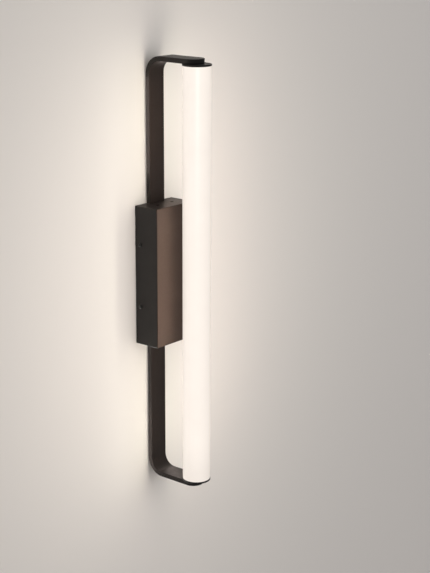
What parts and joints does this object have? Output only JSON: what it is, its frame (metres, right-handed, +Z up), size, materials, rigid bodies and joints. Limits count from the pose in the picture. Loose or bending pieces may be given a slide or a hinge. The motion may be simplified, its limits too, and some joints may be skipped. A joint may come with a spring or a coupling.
{
  "type": "wall lamp",
  "caption": "Upright wall lamp: a glowing opal tube between two dark bronze flat-bar arms, on a rectangular canopy",
  "frame": {"origin": "centre of the wall plate's back face, on the wall", "axes": "+X to the right of a viewer facing the lamp, +Y into the wall, +Z up"},
  "size_m": [0.0808, 0.102, 0.621],
  "materials": {
    "bronze_coat": "satin dark bronze powder coat",
    "dark_screws": "dark bronze plated screws",
    "zinc_sheet": "zinc plated folded sheet",
    "zinc_fastener": "zinc plated fasteners",
    "tinned_copper": "tinned ring terminal",
    "silicone": "matt silicone",
    "opal_acrylic": "satin opal diffuser, lit",
    "carrier_metal": "mill finish",
    "board_white": "white solder mask",
    "chip_phosphor": "yellow phosphor",
    "wire_red": "red insulation",
    "wire_black": "black insulation",
    "wire_white": "white insulation",
    "wire_brown": "brown insulation",
    "wire_blue": "blue insulation",
    "wire_green": "green and yellow insulation",
    "driver_shell": "white moulded",
    "board_green": "green solder mask",
    "component_dark": "dark moulded bodies",
    "terminal_grey": "grey moulded",
    "lever_orange": "orange moulded"
  },
  "bodies": {
    "wall_mount": {"wall_plate": "zinc_sheet", "cable_grommet": "silicone"},
    "fixture": {"canopy_cover": "bronze_coat", "side_screws": "dark_screws", "side_nuts": "zinc_fastener", "chassis": "zinc_sheet", "chassis_screws": "dark_screws", "upper_arm": "bronze_coat", "lower_arm": "bronze_coat", "upper_groove_strip": "bronze_coat", "lower_groove_strip": "bronze_coat", "arm_screws": "zinc_fastener", "arm_nuts": "zinc_fastener", "upper_end_cap": "bronze_coat", "lower_end_cap": "bronze_coat", "cap_screws": "zinc_fastener", "upper_cap_seal": "silicone", "lower_cap_seal": "silicone", "diffuser_tube": "opal_acrylic", "led_carrier": "carrier_metal", "led_board_front": "board_white", "led_board_rear": "board_white", "led_chips": "chip_phosphor", "board_jumpers": "wire_white", "led_wire_positive": "wire_red", "led_wire_negative": "wire_black", "driver_case": "driver_shell", "driver_lid": "driver_shell", "driver_board": "board_green", "driver_components": "component_dark", "component_screws": "zinc_fastener", "terminal_block": "terminal_grey", "live_wire": "wire_brown", "neutral_wire": "wire_blue", "earth_wire": "wire_green", "earth_lug": "tinned_copper", "earth_screw": "zinc_fastener"},
    "lever_live": {"terminal_lever_live": "lever_orange"},
    "lever_neutral": {"terminal_lever_neutral": "lever_orange"},
    "lever_earth": {"terminal_lever_earth": "lever_orange"}
  },
  "joints": [
    {"name": "fixture_lift_off", "type": "slide", "parent": "wall_mount", "child": "fixture", "axis": [0, -1, 0], "range_m": [0, 0.05]},
    {"name": "lever_live_hinge", "type": "hinge", "parent": "fixture", "child": "lever_live", "pos_m": [-0.0075, -0.0237, -0.0505], "axis": [1, 0, 0], "range_deg": [0, 85]},
    {"name": "lever_neutral_hinge", "type": "hinge", "parent": "fixture", "child": "lever_neutral", "pos_m": [0, -0.0237, -0.0505], "axis": [1, 0, 0], "range_deg": [0, 85]},
    {"name": "lever_earth_hinge", "type": "hinge", "parent": "fixture", "child": "lever_earth", "pos_m": [0.0075, -0.0237, -0.0505], "axis": [1, 0, 0], "range_deg": [0, 85]}
  ]
}
